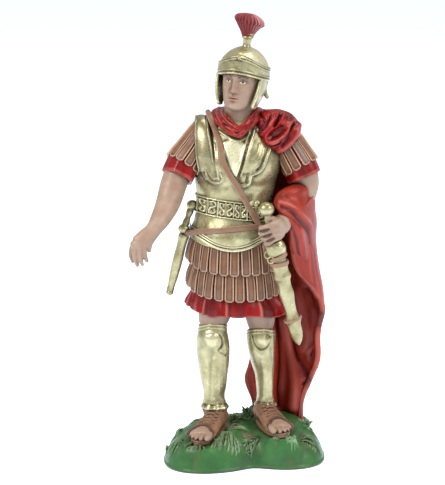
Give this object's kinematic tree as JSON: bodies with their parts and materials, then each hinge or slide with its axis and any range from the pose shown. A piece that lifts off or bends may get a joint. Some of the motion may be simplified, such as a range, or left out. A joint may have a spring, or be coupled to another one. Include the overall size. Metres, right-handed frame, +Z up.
{
  "type": "roman soldier figurine",
  "caption": "Standing soldier figurine in cuirass, plumed helmet and long cloak, moulded in one with a low grassy base.",
  "frame": {"origin": "centre of the base's flat underside", "axes": "+Z up through the figure, +X to its left hand side, and the figure looks along -Y"},
  "size_m": [0.0565, 0.0382, 0.1298],
  "materials": {
    "painted_figure": "hand-painted semi-gloss with a dark brown wash in the recesses"
  },
  "bodies": {
    "root": {"roman_soldier": "painted_figure"}
  },
  "joints": []
}
